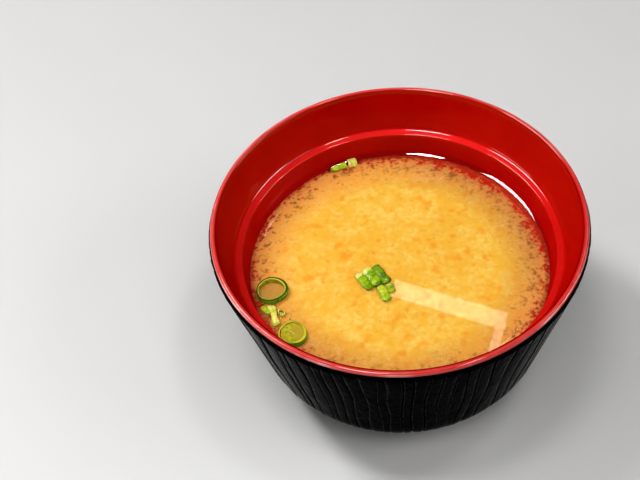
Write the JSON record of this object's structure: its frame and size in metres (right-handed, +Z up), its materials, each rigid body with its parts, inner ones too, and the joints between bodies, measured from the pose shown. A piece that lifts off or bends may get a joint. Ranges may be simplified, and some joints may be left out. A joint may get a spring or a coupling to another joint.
{
  "type": "miso soup",
  "caption": "Miso soup in a lacquered bowl, black and fluted outside, red inside, with a lid ledge and a foot ring, and sliced scallion floating on the soup.",
  "frame": {"origin": "on the table under the middle of the bowl's foot ring", "axes": "+Z up through the bowl's mouth; +X to the diner's right and +Y away from the diner"},
  "size_m": [0.1164, 0.1164, 0.065],
  "materials": {
    "red_lacquer": "gloss red lacquer inside and over the lip",
    "black_lacquer": "satin black lacquer over carved flutes",
    "soup": "cloudy amber miso in suspension under a wet surface",
    "scallion_green": "wet green scallion leaf",
    "scallion_pale": "wet pale yellow-green scallion"
  },
  "bodies": {
    "root": {"bowl": "red_lacquer", "soup": "soup", "scallion_ring_dark": "scallion_green", "scallion_leaf_dark": "scallion_green", "scallion_leaf_wide": "scallion_green", "scallion_leaf_left": "scallion_green", "scallion_leaf_front": "scallion_green", "scallion_leaf_flake": "scallion_green", "scallion_far_green": "scallion_green", "scallion_ring_light": "scallion_pale", "scallion_curl": "scallion_pale", "scallion_scrap": "scallion_pale", "scallion_scrap_flap": "scallion_pale", "scallion_far_pale": "scallion_pale"}
  },
  "joints": []
}
